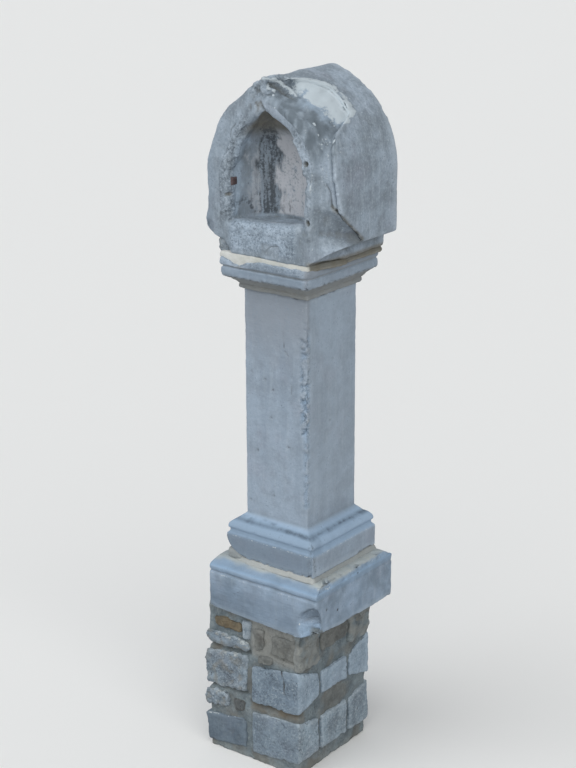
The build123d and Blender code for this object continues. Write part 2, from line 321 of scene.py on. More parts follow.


# A weathered stone or mortar. Its colour goes from dull to fresh in broad clouds, with stains,
# speckles and pits, paler on its arrises and darker in its hollows, with dirt and painted shade.
# Marks add what is local, painted light and shade among them.
def stoneMaterial(name, look):
    material = bpy.data.materials.new(name)
    material.use_nodes = True
    tree = material.node_tree
    pen = Wire(tree)
    place = pen.node("ShaderNodeTexCoord", {}, {}, "Object")

    def noise(scale, detail, roughness=0.6, stretch=(1, 1, 1)):
        vector = place
        if stretch != (1, 1, 1):
            vector = pen.node("ShaderNodeMapping", {}, {"Vector": place, "Scale": stretch})
        sockets = {"Vector": vector, "Scale": scale, "Detail": detail, "Roughness": roughness}
        return pen.node("ShaderNodeTexNoise", {}, sockets)

    def mark(key):
        return pen.node("ShaderNodeAttribute", {"attribute_name": key}, {}, "Fac")

    broad = noise(look["broad"], 3.0)
    middle = noise(22.0, 5.0, 0.65)
    fine = noise(130.0, 5.0, 0.7)
    coarse = noise(230.0, 3.0, 0.6)
    grain = noise(520.0, 3.0, 0.7)
    streak = noise(60.0, 5.0, 0.7, (1.0, 1.0, 0.09))
    drips = noise(26.0, 4.0, 0.65, (1.0, 1.0, 0.16))
    cells = pen.node("ShaderNodeTexVoronoi", {}, {"Vector": place, "Scale": 105.0})
    spots = (1 - cells.ease(0.12, 0.34)) * middle.ease(look["pitFrom"], 0.68) * look["spots"]
    mottle = fine * 0.55 + middle * 0.15 + coarse * 0.3
    rough = mark("rough")
    lime = (mark("lime") + (fine - 0.5) * 0.9 + (middle - 0.5) * 0.8).ease(0.42, 0.62)
    crack = mark("crack").ease(0.25, 0.7) * 0.8

    # The layers of colour, from the stone outwards: how much of it is covered, and with which colour
    colour = (broad * 0.6 + middle * 0.4).ease(0.38, 0.62).mix(shade(*look["dull"]), shade(*look["fresh"]))
    for share, key in [
        (noise(9.0, 4.0).ease(0.5, 0.72) * look["tint"], "tintColour"),
        (streak.ease(0.48, 0.72) * look["streaks"], "pale"),
        (fine.ease(0.5, 0.75) * look["speckle"], "pale"),
        ((1 - fine).ease(0.52, 0.75) * look["speckle"], "dark"),
        (mark("arris") * (middle * 0.8 + 0.5) * look["arris"], "pale"),
        # Hollows and creases darken with dirt and painted shade; the shadow mark below is painted shade.
        (mark("hollow") * (fine * 0.6 + 0.6) * look["hollow"], "dirtAndShade"),
        # A bluer tone, painted mostly as sky light on tops and on lit faces.
        (mark("coolAndSkyLit") * 0.6, "coolAndSkyLit"),
        (mark("deep") * (middle * 0.6 + 0.6), "deep"),
        (spots, "dark"),
        (rough * (1 - mottle.ease(0.4, 0.5)) * 0.6, "dark"),
        (rough * mottle.ease(0.52, 0.62) * 0.5, "pale"),
        (mark("shadow") * 0.9, "dirtAndShade"),
        (mark("warm") * (middle * 0.9 + 0.35), "warm"),
        # A pale tone, painted also as light: sunlight in the niche and lit side faces.
        (mark("ashenAndLit") * (drips * 0.5 + fine * 0.5).ease(0.36, 0.5), "ashenAndLit"),
        (mark("soot") * (streak * 0.45 + fine * 0.35 + middle * 0.2).ease(0.44, 0.54) * 0.86, "soot"),
        (lime, "lime"),
        (crack, "crack"),
    ]:
        colour = share.mix(colour, shade(*look[key]))

    height = middle * 0.5 + fine * 0.35 + grain * 0.1 + streak * look["streaks"] * 0.25
    height = height - spots * 0.55 + rough * (fine + coarse) * 0.6 - crack + lime * 0.25
    if look["tooling"]:
        height = height + noise(150.0, 2.0, 0.5, (0.06, 0.06, 1.0)) * look["tooling"]
    sockets = {"Height": height, "Strength": 1.0, "Distance": look["relief"]}
    surface = tree.nodes["Principled BSDF"]
    tree.links.new(colour.socket, surface.inputs["Base Color"])
    tree.links.new(pen.node("ShaderNodeBump", {}, sockets).socket, surface.inputs["Normal"])
    tree.links.new((fine * 0.25 + look["roughness"]).socket, surface.inputs["Roughness"])
    surface.inputs["Specular IOR Level"].default_value = 0.35
    return material


# Looks. Limestone of the dressed blocks comes first, and each finish says how it differs from it.
# Colours are as they look on screen. The relief is in metres.
# Some colours also paint light: the colour for hollows and shadows is partly painted shade, the bluer cool
# colour mostly painted sky light, the ashen colour partly painted sunlight, and deep partly painted shade.
bluestone = {
    "slot": "dressed_stone", "fresh": (150, 165, 181), "dull": (138, 151, 165), "pale": (182, 195, 206),
    "dark": (96, 106, 117), "dirtAndShade": (104, 106, 102), "tintColour": (146, 150, 164), "coolAndSkyLit": (152, 180, 208),
    "deep": (90, 106, 122), "warm": (142, 132, 108), "ashenAndLit": (152, 157, 164), "soot": (58, 63, 68),
    "lime": (196, 204, 206), "crack": (74, 72, 66), "tint": 0.25, "streaks": 0.18, "speckle": 0.3,
    "arris": 0.4, "hollow": 0.55, "spots": 0.55, "broad": 5.5, "pitFrom": 0.5, "tooling": 0.0,
    "relief": 0.0022, "roughness": 0.68,
}
earth = {
    "slot": "earth_mortar", "fresh": (120, 132, 138), "dull": (96, 108, 115), "pale": (154, 160, 158),
    "dark": (72, 78, 80), "dirtAndShade": (82, 84, 78), "tintColour": (126, 118, 106), "tint": 0.35,
    "warm": (104, 95, 80), "coolAndSkyLit": (146, 144, 137), "lime": (164, 162, 154), "speckle": 0.6,
    "streaks": 0.0, "relief": 0.005, "broad": 16.0, "roughness": 0.75,
}
finishes = {
    "dressedBlue": {"tooling": 0.25, "ashenAndLit": (140, 148, 158)},
    "headBlue": {
        "fresh": (153, 167, 181), "dull": (122, 133, 143), "pale": (192, 205, 217), "dark": (84, 93, 104),
        "speckle": 0.5, "streaks": 0.3, "pitFrom": 0.46, "relief": 0.003, "warm": (112, 106, 92),
        "ashenAndLit": (188, 191, 197), "lime": (186, 197, 204), "coolAndSkyLit": (168, 190, 212), "deep": (98, 109, 118)},
    "blockBlue": {
        "fresh": (148, 166, 186), "dull": (122, 138, 154), "tooling": 0.55, "speckle": 0.25,
        "warm": (180, 182, 172)},
    "plinthBlue": {
        "slot": "plinth_stone", "fresh": (146, 163, 176), "dull": (114, 127, 138), "pale": (192, 203, 210),
        "dark": (66, 74, 82), "speckle": 0.85, "spots": 0.9, "arris": 0.35, "relief": 0.007, "broad": 12.0},
    "footingBlue": {
        "slot": "dark_blue_stone", "fresh": (101, 115, 127), "dull": (82, 95, 107), "pale": (134, 146, 154),
        "dark": (64, 72, 82), "speckle": 0.35, "spots": 0.4, "arris": 0.25, "tintColour": (96, 104, 122)},
    "tinyBrown": {
        "slot": "brown_rubble", "fresh": (76, 80, 80), "dull": (54, 57, 60), "pale": (116, 118, 116),
        "dark": (42, 44, 46), "dirtAndShade": (60, 60, 56), "tintColour": (92, 82, 76), "speckle": 0.6,
        "streaks": 0.0, "relief": 0.004},
    "ochreStone": {
        "slot": "ochre_stone", "fresh": (108, 96, 76), "dull": (82, 76, 64), "pale": (136, 132, 116),
        "dark": (66, 58, 48), "dirtAndShade": (82, 82, 70), "tintColour": (104, 106, 86), "tint": 0.7,
        "speckle": 0.45, "arris": 0.2, "streaks": 0.0, "relief": 0.004, "broad": 16.0},
    "brownRubble": {
        "slot": "brown_rubble", "fresh": (116, 118, 115), "dull": (90, 93, 92), "pale": (146, 150, 148),
        "dark": (64, 65, 63), "dirtAndShade": (72, 72, 66), "tintColour": (124, 114, 108), "speckle": 0.5,
        "arris": 0.2, "streaks": 0.0, "relief": 0.005, "broad": 14.0},
    "earthMortar": earth,
    "greyMortar": {
        **earth, "slot": "lime_mortar", "fresh": (148, 160, 172), "dull": (122, 134, 146),
        "tintColour": (128, 138, 148), "dark": (88, 98, 108), "dirtAndShade": (92, 100, 108)},
    "creamMortar": {
        "slot": "lime_mortar", "fresh": (203, 205, 202), "dull": (182, 184, 178), "pale": (216, 218, 216),
        "dark": (146, 144, 132), "dirtAndShade": (132, 128, 110), "tintColour": (192, 188, 172), "tint": 0.35,
        "streaks": 0.0, "spots": 0.3, "relief": 0.003, "roughness": 0.78, "warm": (112, 108, 96),
        "deep": (122, 130, 134)},
    "rustyIron": {
        "slot": "rusty_iron", "fresh": (82, 66, 66), "dull": (62, 56, 60), "pale": (104, 92, 94),
        "dark": (46, 40, 42), "dirtAndShade": (50, 46, 46), "tintColour": (88, 64, 56), "tint": 0.5,
        "speckle": 0.6, "streaks": 0.0, "broad": 40.0, "relief": 0.002},
}
looks = {name: {**bluestone, **own} for name, own in finishes.items()}
materials = {name: stoneMaterial(name, look) for name, look in looks.items()}
print("materials made")


# Head stone. Heights are above its foot.
head = {
    "columns": 480,
    "rowCounts": {"back": 10, "corner": 5, "side": 40, "edge": 14, "slope": 32, "wall": 59},
    "rayHeight": 210,       # the rays that make the rings start here
    "spring": 260,
    "neckHalf": 200,
    "neckHeight": 44,
    "undercut": 14,
    "niche": {"half": 148, "floor": 105, "side": 170, "rise": 178},
    "arris": 30,
    "footArris": 9,
    "backArris": 14,
    "leftLip": 27,
    "rightLip": 36,
    "groove": 15,           # how deep the crack is between the slope and the skin
    "slopeEnd": 0.86,       # the share of the way in at which the slope meets the front
    "look": {"swell": 3.0, "rough": 1.5, "roughSize": 30, "pit": 3.0, "pitSize": 15, "chip": 3.0},
}

# Where the front arris is lost. Along the outline, counter-clockwise from the right spring: share of the
# loss, Y of the ledge behind it, thickness of the skin that is left there, where the slope meets the
# front, as a share of the way out, and its sag along Y.
lostArris = np.array([
    (-352, 0.0, -185, 0, 0.85, 0),
    (-332, 1.0, -184, 0, 0.80, 0),
    (-290, 1.0, -171, 0, 0.55, 0),
    (-239, 1.0, -148, 0, 0.34, 4),
    (-212, 1.0, -96, 0, 0.24, 8),
    (-203, 1.0, -14, 3, 0.20, 12),
    (-193, 1.0, -20, 11, 0.16, 12),
    (-124, 1.0, -98, 13, 0.10, 14),
    (-90, 1.0, -131, 13, 0.08, 12),
    (-64, 1.0, -131, 12, 0.06, 11),
    (-34, 1.0, -139, 12, 0.05, 9),
    (16, 1.0, -151, 12, 0.05, 8),
    (62, 1.0, -153, 12, 0.05, 7),
    (108, 1.0, -139, 12, 0.06, 6),
    (133, 1.0, -121, 11, 0.08, 4),
    (158, 1.0, -95, 9, 0.10, -5),
    (183, 1.0, -36, 4, 0.12, -24),
    (205, 1.0, 4, 0, 0.14, -46),
    (240, 1.0, 8, 0, 0.14, -56),
    (310, 1.0, 8, 0, 0.16, -56),
    (365, 1.0, -46, 0, 0.45, -14),
    (425, 0.2, -130, 0, 0.60, 0),
    (445, 0.0, -155, 0, 0.60, 0),
])

# How far the front of the neck is broken back: its outline there, and the depths, in Y, between which
# that outline turns into the whole one, on the right and on the left.
brokenNeck = {
    "right": [(166, 0), (167, 10), (200, 28), (228, 42), (250, 62)],
    "left": [(-250, 72), (-236, 57), (-200, 47), (-164, 42), (-147, 18), (-142, 0)],
    "rightDepths": (-191, -29),
    "leftDepths": (-185, -130),
}


# A round pointed arch: two arcs that rise from the springs at half out, each of radius half - c with
# its middle at c = (half^2 - rise^2) / (2 half) across.
def archMiddle(half, rise):
    return (half ** 2 - rise ** 2) / (2 * half)


# Points along the arch, from the right spring over the apex to the left one
def archPoints(half, spring, rise):
    middle = archMiddle(half, rise)
    angle = np.linspace(0, math.acos(-middle / (half - middle)), 80)
    right = np.column_stack([middle + (half - middle) * np.cos(angle),
                             spring + (half - middle) * np.sin(angle)])
    return np.concatenate([right, right[-2::-1] * (-1, 1)])


# Points on a curve from a to c that leaves and arrives along the sides of corner b.
def turned(a, b, c, shares):
    t = np.asarray(shares)[:, None, None]
    return (1 - t) ** 2 * a + 2 * t * (1 - t) * b + t ** 2 * c


# Points of (X, Z), each set at its depth along Y
def inPlane(points, depth):
    return np.stack([points[..., 0], np.broadcast_to(depth, points.shape[:-1]), points[..., 1]], axis=-1)


# Evenly spaced shares between 0 and 1, without the ends.
def between(count):
    return np.linspace(0, 1, count + 2)[1:-1]


# How far a closed run of corners is from a middle, at the given angles.
def reachAt(corners, soft, centre, angle):
    loop = softLoop(corners, soft)[1] - centre
    loopAngle = np.arctan2(loop[:, 1], loop[:, 0])
    order = np.argsort(loopAngle)
    return np.interp(angle, loopAngle[order], np.linalg.norm(loop, axis=1)[order], period=2 * np.pi)


# The head as rows of rings round the niche. On each ray: out over the back, forward along the side,
# round the front arris or down the slope that replaces it, in over the front to the niche's mouth,
# and along the floor and the round wall, x^2 + y^2 = R(z)^2, to the middle of the apse.
def headRows():
    low, high = nodeBox("niche_head")
    half, foot, front, back = high[0], low[2], low[1], high[1]
    niche, counts = head["niche"], head["rowCounts"]
    centre = np.array([0, foot + head["rayHeight"]])
    spring = foot + head["spring"]
    neck, shoulder = head["neckHalf"], foot + head["neckHeight"]
    arch = [*archPoints(half, spring, high[2] - spring)]
    lower = [(-half, shoulder + head["undercut"]), (-neck, shoulder), (-neck, foot)]
    along, loop = softLoop([*arch, *lower, *[(-x, z) for x, z in lower[::-1]]], 6)
    chosen = np.linspace(0, len(along), head["columns"], endpoint=False).astype(int)
    outer, along = loop[chosen], along[chosen]
    signedAlong = np.where(along > len(loop) / 2, along - len(loop), along)
    angle = np.unwrap(np.arctan2(*(outer - centre).T[::-1]))
    ray = np.column_stack([np.cos(angle), np.sin(angle)])
    broken = [(x, foot + up) for x, up in brokenNeck["left"] + brokenNeck["right"]]
    outerFront = centre + ray * reachAt([*arch, *broken], 5, centre, angle)[:, None]
    onRight = ray[:, 0] > 0
    aboveNeck = ease(foot + 90, foot + 150, outer[:, 1])
    arris = head["footArris"] + (head["arris"] - head["footArris"]) * aboveNeck

    def outline(depth):
        starts, ends = (np.where(onRight, brokenNeck["rightDepths"][k], brokenNeck["leftDepths"][k])
                        for k in (0, 1))
        return outer + (outerFront - outer) * limit((ends - depth) / (ends - starts))[:, None]

    # The mouth: a little tighter at the upper left and the lower right, and wider at the upper right
    floor, nicheSpring = foot + niche["floor"], foot + niche["floor"] + niche["side"]
    mouthCorners = [*archPoints(niche["half"], nicheSpring, niche["rise"]),
                    (-niche["half"], floor), (niche["half"], floor)]
    degrees = (np.degrees(angle) + 360) % 360
    reach = reachAt(mouthCorners, 5, centre, angle)
    reach = reach - 16 * band(degrees, 95, 112, 140, 168) + 5 * band(degrees, 10, 28, 50, 70)
    reach = reach - 10 * (ease(308, 322, degrees) + ease(30, 6, degrees)) * onRight
    mouth = centre + ray * reach[:, None]

    share, ledge, thin, meet, sag = (np.interp(signedAlong, lostArris[:, 0], column)
                                     for column in lostArris.T[1:])
    run = np.column_stack([along, along * 0, along * 0])
    ragged = ledge + (9 * cloud(run, 46, 21, 2) + 4 * cloud(run, 12, 22, 2)) * (thin > 2)
    rounding = np.where(onRight, head["rightLip"], head["leftLip"])
    rounding = rounding + 4 * cloud(np.column_stack([mouth, along * 0]), 50, 31, 2)

    way = mouth - outer
    length = np.linalg.norm(way, axis=1, keepdims=True)
    inward = way / length
    rim = outer + inward * head["backArris"]
    rows = [inPlane(centre + (rim - centre) * f, back) for f in np.linspace(0.07, 1, counts["back"])]
    firstSide = len(rows)
    corner, side = inPlane(outer, back), inPlane(outer, back - head["backArris"])
    rows += list(turned(rows.pop(), corner, side, np.linspace(0, 1, counts["corner"])))

    wholeEdge, sideStart = front + arris, back - head["backArris"]
    edgeY = wholeEdge + (ragged - wholeEdge) * share
    for f in between(counts["side"]) ** 0.85:
        depth = sideStart + (edgeY - sideStart) * f
        rows.append(inPlane(outline(depth), depth))

    firstEdge = len(rows)
    shares = np.linspace(0, 1, counts["edge"])
    atEdge, atFront, atLedge = outline(wholeEdge), outline(front), outline(edgeY)
    whole = turned(inPlane(atEdge, wholeEdge), inPlane(atFront, front),
                   inPlane(atFront + inward * arris[:, None], front), shares)
    lost = []
    for s in shares:
        inset = np.interp(s, [0, 0.4, 0.6, 1], [0, 1, 1.1, 1.2]) * thin + 9 * s ** 3
        groove = head["groove"] * np.interp(s, [0.3, 0.55, 0.95], [0, 1, 0]) * thin / 12
        depth = ragged + (ledge - ragged) * s ** 2 + groove - 2 * s
        lost.append(inPlane(atLedge + inward * inset[:, None], depth))
    rows += list(whole + (np.array(lost) - whole) * share[:, None])

    lip = inPlane(mouth - inward * rounding[:, None], front)
    meetAt = inPlane(mouth - inward * np.maximum(meet[:, None] * length, rounding[:, None] + 1), front)
    for f in between(counts["slope"]):
        flat = whole[-1] + (lip - whole[-1]) * f
        g = min(f / head["slopeEnd"], 1)
        h = max((f - head["slopeEnd"]) / (1 - head["slopeEnd"]), 0)
        slope = lost[-1] + (meetAt - lost[-1]) * g + (lip - meetAt) * h
        slope[:, 1] += sag * 4 * g * (1 - g)
        rows.append(flat + (slope - flat) * share[:, None])

    middle = archMiddle(niche["half"], niche["rise"])
    radius = niche["half"] - middle

    def apseDepth(x, z):
        over = np.clip(z - nicheSpring, 0, radius)
        widest = np.where(z > nicheSpring, middle + np.sqrt(radius ** 2 - over ** 2), niche["half"])
        return np.sqrt(np.maximum(widest ** 2 - x ** 2, 0))

    floorDepth = apseDepth(*mouth.T)
    wallLength = reach * math.pi / 2
    inside = []
    for f in np.arange(counts["wall"]) / counts["wall"]:
        gone = rounding + (floorDepth + wallLength - rounding) * f
        up = limit((gone - floorDepth) / wallLength)
        spot = centre + (mouth - centre) * np.cos(up * math.pi / 2)[:, None]
        depth = np.where(gone < floorDepth, gone, apseDepth(*spot.T))
        inside.append(inPlane(spot, front + depth))
    firstLip = len(rows)
    rows += list(turned(lip, inPlane(mouth, front), inside[0], shares[:-1]))
    firstInside = len(rows)
    rows = np.array(rows + inside)

    # The broken slope runs softly into the lip. The masks say where each point lies.
    number = np.arange(len(rows))[:, None]
    blurred = np.mean([np.roll(rows, k, axis=0) for k in range(-6, 7)], axis=0)
    nearLip = band(number, firstLip - 14, firstLip - 5, firstLip, firstLip + 9) * share
    rows = rows + (blurred - rows) * nearLip[..., None]
    onSide = (number >= firstSide) * (number < firstEdge)
    return rows, {
        "edge": (number >= firstEdge + 6) * (number < firstEdge + 11) * share * (thin > 6),
        "side": onSide,
        "slope": (number >= firstEdge) * (number < firstLip) * share,
        "lip": (number >= firstLip - 3) * (number < firstInside + 3),
        "inside": ease(firstInside - 3, firstInside + 2, number),
        "floor": (number >= firstLip) * (mouth[:, 1] < floor + 14),
        "behind": np.where(onSide * (share > 0.5), rows[..., 1] - edgeY, 999)}


# How near points are to a run of corners, as 1 on it and 0 at its half width away. Corners of two
# numbers are seen along Y.
def lineMark(points, corners, halfWidth):
    flat = points if len(corners[0]) == 3 else points[..., [0, 2]]
    nearest = np.full(points.shape[:-1], 1e6)
    for start, end in zip(np.array(corners[:-1], float), np.array(corners[1:], float)):
        run = end - start
        share = np.clip((flat - start) @ run / (run @ run), 0, 1)
        nearest = np.minimum(nearest, np.linalg.norm(flat - start - share[..., None] * run, axis=-1))
    return np.clip(1 - nearest / halfWidth, 0, 1)


# How near points are to any of the given spots, each (x, y, z, radius).
def spotMark(points, spots):
    best = np.zeros(points.shape[:-1])
    for x, y, z, radius in spots:
        best = np.maximum(best, ease(1.3, 0.5, np.linalg.norm(points - (x, y, z), axis=-1) / radius))
    return best


rows, masks = headRows()
print("head rows:", rows.shape)
x, y, z = axes(rows)
inside, slope = masks["inside"], masks["slope"]

# The left side and the left of the crest have worn back. The sill is a low ridge, higher on the right.
archMiddleZ = 2040      # the worn shoulder's angle is measured round this height
shoulderTurn = np.degrees(np.arctan2(z - archMiddleZ, x))
worn = 7 * ease(-190, -245, x) * ease(90, -40, y)
worn = worn + 15 * band(shoulderTurn, 98, 122, 150, 178) * ease(60, -120, y)
worn = worn * (1 - inside) + 6 * patch(rows, (-245, -185, 1840), (14, 40, 20), 30)
worn = worn + 10 * patch(rows, (-80, -110, 2318), (35, 70, 20), 70)
rows = sink(rows, worn)
ridge = (3 + 11 * ease(-120, 140, x)) * ease(-105, -150, y) * masks["floor"] * ease(150, 125, np.abs(x))
rows = shift(rows, (0, -0.35, 1.0), ridge)
apex = ease(34, 0, np.abs(rows[..., 0] + 3)) * band(rows[..., 2], 2178, 2208, 2234, 2262)
rows[..., 2] += 13 * apex * ease(-90, -130, rows[..., 1])

# The places where the stone is coarse, chipped, coated or smooth
leftRim = masks["lip"] * ease(-40, -80, x) * band(z, 1872, 1900, 2215, 2240)
rightRim = masks["lip"] * ease(90, 130, x) * ease(1900, 1930, z)
sillFace = patch(rows, (-10, -188, 1846), (120, 26, 40), 20) * (1 - inside)
scar = patch(rows, (18, -186, 1810), (30, 20, 14), 12)
crest = patch(rows, (22, -150, 2328), (66, 40, 24), 30)
crown = patch(rows, (-38, -185, 2262), (8, 14, 8), 26) * blotches(rows, 22, 91, -0.25, 0.25)
coatFrom = np.interp(x, [20, 53, 80, 89, 126, 140, 200], [-40, -74, -62, -92, -83, -72, -29])
upperRight = ease(24, 44, x) * ease(2188, 2212, z)
coated = slope * upperRight * ease(60, 20, y)
edgeNoise = 26 * cloud(rows, 40, 92, 4, 0.65)
coat = coated * ease(coatFrom - 40, coatFrom + 44, y + edgeNoise)
coat = coat + upperRight * ease(46, 0, masks["behind"] + edgeNoise)
paler = coated * ease(coatFrom - 70, coatFrom, y + edgeNoise)
streaks = slope * blotches(rows, (13, 13, 110), 93, 0.1, 0.5) * ease(2260, 2190, z)
flecked = coated * ease(coatFrom - 60, coatFrom - 6, y) * (1 - coat)
brokenUp = 0.2 + 0.4 * blotches(rows, 60, 95, -0.3, 0.4, 2)
calm = 1 - 0.75 * masks["side"] * ease(200, 235, x) - 0.4 * inside
cracks = lineMark(rows, [(208, 2052), (221, 2012), (219, 1967), (235, 1953), (250, 1925)], 4) * slope
cracks = cracks * ease(2060, 2020, z)
fissures = sum(lineMark(rows, corners, 3) for corners in [
    [(-178, 1899), (-157, 1911), (-147, 1922)],
    [(-122, 2192), (-141, 2172), (-144, 2150), (-134, 2130)],
    [(-92, 1868), (-74, 1860), (-66, 1846)],
    [(-60, 1862), (-47, 1855), (-30, 1858)],
    [(-2, 1800), (16, 1822), (50, 1830), (62, 1812)],
])
fissures = fissures * (1 - inside) * (y < -120)
notch = patch(rows, (-150, -178, 1966), (9, 14, 2), 6)
crestRidge = lineMark(rows, [
    (-22, -175, 2339), (-6, -171, 2344), (9, -164, 2343), (19, -152, 2340), (27, -141, 2331),
    (40, -122, 2316), (56, -119, 2300), (73, -117, 2288)], 11)
crestHollow = lineMark(rows, [(26, -131, 2340), (35, -121, 2335), (42, -105, 2328), (52, -88, 2316)], 20)
chips = sum(lineMark(rows, corners, 7) for corners in [
    [(7, -172, 2326), (18, -157, 2322), (31, -144, 2314), (42, -140, 2304), (54, -134, 2295),
     (69, -129, 2285)],
    [(1, -181, 2238), (-8, -185, 2257), (-23, -185, 2276), (-30, -185, 2291)],
])
foot = lineMark(rows, [(222, -136, 1968), (233, -120, 1948), (246, -113, 1932), (249, -80, 1901),
                       (249, -43, 1872), (250, -10, 1847)], 10)
holes = spotMark(rows, [(157, -180, 2100, 10), (161, -182, 1917, 9)])
dots = spotMark(rows, [
    (155, -140, 2214, 6), (172, -141, 2182, 4), (216, -121, 2167, 7), (181, -72, 2202, 4),
    (236, -118, 2134, 4), (8, -173, 2317, 7), (24, -165, 2308, 7), (26, -173, 2296, 5),
    (41, -186, 2259, 4)])

rows = weather(rows, head["look"], 41, 0.1 + 0.9 * limit(leftRim + sillFace * 0.8 + rightRim * 0.3), calm)
flakes = cloud(rows, 44, 77, 3)
terraces = 7 * ease(-0.12, 0.02, flakes) + 6 * ease(0.22, 0.34, flakes) - 8 + 3 * cloud(rows, 16, 79, 2)
height = crest * terraces - 3 * crown + 3 * coat - 3 * leftRim * pits(rows, 11, 84)
for where, amount, size, seed, octaves in [
    (crown, 3, 14, 81, 2), (coat, 4, 34, 83, 3), (leftRim, 2.4, 16, 78, 3), (rightRim, 4, 26, 86, 3),
    (sillFace * (1 - scar), 1.6, 13, 87, 3), (slope * (1 - coat), 2, (26, 26, 120), 88, 3),
    (inside, 1.2, (20, 20, 60), 89, 3),
]:
    height = height + where * amount * cloud(rows, size, seed, octaves)
height = height - 4 * cracks - 2.5 * fissures - 5 * notch - 2.5 * scar + 2.5 * dots
height = height + 6 * ease(0, 0.9, crestRidge) - 10 * ease(0, 0.9, crestHollow)
height = height - 9 * ease(0, 0.8, chips) - 6 * foot * blotches(rows, 24, 96, -0.4, 0.3, 2)
rows = sink(rows, -height)
rows = shift(rows, (0.7, 0.7, 0), 14 * ease(0.35, 0.75, holes))

# Marks. The turn says where on the niche's round wall a point is: 0 at the right, 180 at the left.
x, y, z = axes(rows)
wall = inside * ease(1890, 1900, z)
turn = np.degrees(np.arctan2(y + 185, x))
turn = turn + 9 * cloud(rows, (24, 24, 60), 97, 3) + 5 * ease(2060, 2180, z)
flecks = blotches(rows, (13, 13, 24), 98, 0.05, 0.35)
lowFlecks = ease(68, 60, turn) * ease(2090, 2060, z) + 0.7 * ease(84, 98, turn) * ease(1980, 1920, z)
sootBands = (ease(104, 112, turn) - ease(134, 144, turn)) * (1 - 0.6 * ease(2150, 2200, z))
sootBands = sootBands + 0.35 * (ease(140, 146, turn) - ease(156, 162, turn))
# A painted patch of sunlight on the right of the niche's round wall, and a narrow paler streak at the left
# edge of the soot.
litBands = band(turn, 50, 60, 105, 112) * ease(2180, 2140, z)
litBands = litBands + 0.4 * (ease(134, 138, turn) - ease(142, 147, turn)) * ease(2130, 2080, z)
darkSlope = slope * (0.05 + 0.8 * ease(2065, 2155, z)) * (1 - paler)
darkSlope = darkSlope * (1 + 0.8 * cloud(rows, (20, 20, 100), 99, 3))
darkFront = 0.25 * ease(-120, -160, x) * ease(2180, 2120, z) * (1 - inside)
darkFront = darkFront + 0.3 * ease(60, 110, x) * ease(1895, 1880, z) * ease(-150, -172, y)
neckFoot = ease(1800, 1786, z) * ease(150, 170, x)
vault = wall * ease(2135, 2190, z)
reveal = wall * ease(150, 164, turn)
smoothSill = sillFace * (1 - scar)
# Painted shade under the vault, in the chips, in the crest's hollow, in the holes and along the foot of the
# ledge. Painted light: sky light, paler and bluer, on the sill's top, the outer left rim and the niche's
# left reveal, a paler, bluer fringe round the white coat, and a patch of sunlight in the niche.
marks = wearAndShadeMarks(rows, 0, {
    "rough": leftRim + smoothSill + crest * 0.8 + crown + rightRim * 0.6 + foot,
    "soot": wall * (sootBands + flecks * lowFlecks),
    "ashenAndLit": wall * litBands,
    "shadow": vault * 0.45 + chips * 0.6 + foot * 0.4 + holes,
    "deep": darkSlope + darkFront + chips * 0.5 + crestHollow * 0.7,
    "coolAndSkyLit": limit(smoothSill * 0.4 + ease(-195, -240, x) * 0.35 + paler + reveal * 0.5),
    "warm": vault * 0.9 + neckFoot * 0.9 + crown * 0.6 + notch * 0.6 + foot * 0.7,
    "lime": coat + flecked * 0.4 + dots + crest * 0.3 + crestRidge * 0.5 + streaks * 0.4 + rightRim * 0.2,
    "crack": cracks * 0.5 + fissures * 0.5 + holes + masks["edge"] * brokenUp,
})
skin("head_stone", rows, marks, "headBlue", "niche_head")
print("head stone made")


# A ring round a rectangle with round corners, once round from the front right corner: shares of the
# straight half sizes, and the direction in which the corner's radius is added.
def ringPlan(perSide, perCorner=7):
    signs = np.array([(1, -1), (1, 1), (-1, 1), (-1, -1)])
    parts = []
    for k in range(4):
        turn = np.radians(np.linspace(-90, 0, perCorner) + 90 * k)
        parts.append(np.column_stack([np.tile(signs[k], (perCorner, 1)), np.cos(turn), np.sin(turn)]))
        share = np.arange(1, perSide + 1)[:, None] / (perSide + 1)
        run = signs[k] * (1 - share) + signs[(k + 1) % 4] * share
        facing = (math.cos(turn[-1]), math.sin(turn[-1]))
        parts.append(np.column_stack([run, np.tile(facing, (perSide, 1))]))
    return np.concatenate(parts).T


# A profile of (distance outside the half sizes along X, the same along Y, height) carried round that
# ring, and closed by flat ends: x = share (half - radius) + radius cos(turn), and y likewise.
def profileRows(profile, middle, halfX, halfY, radius, step, soft, perSide, capRows=9):
    run = softPath(profile, step, soft)
    ends = np.linspace(0.05, 1, capRows)[:-1]
    scale = np.concatenate([ends, np.ones(len(run)), ends[::-1]])
    first, last = (np.repeat(end, capRows - 1, axis=0) for end in (run[:1], run[-1:]))
    run = np.concatenate([first, run, last])
    shareX, shareY, turnX, turnY = ringPlan(perSide)
    sizeX, sizeY = (halfX + run[:, 0]) * scale, (halfY + run[:, 1]) * scale
    r = np.minimum(radius, 0.9 * np.minimum(sizeX, sizeY))
    rowX = middle[0] + (sizeX - r)[:, None] * shareX + r[:, None] * turnX
    rowY = middle[1] + (sizeY - r)[:, None] * shareY + r[:, None] * turnY
    return np.stack([rowX, rowY, np.broadcast_to(run[:, 2:], rowX.shape)], axis=-1)


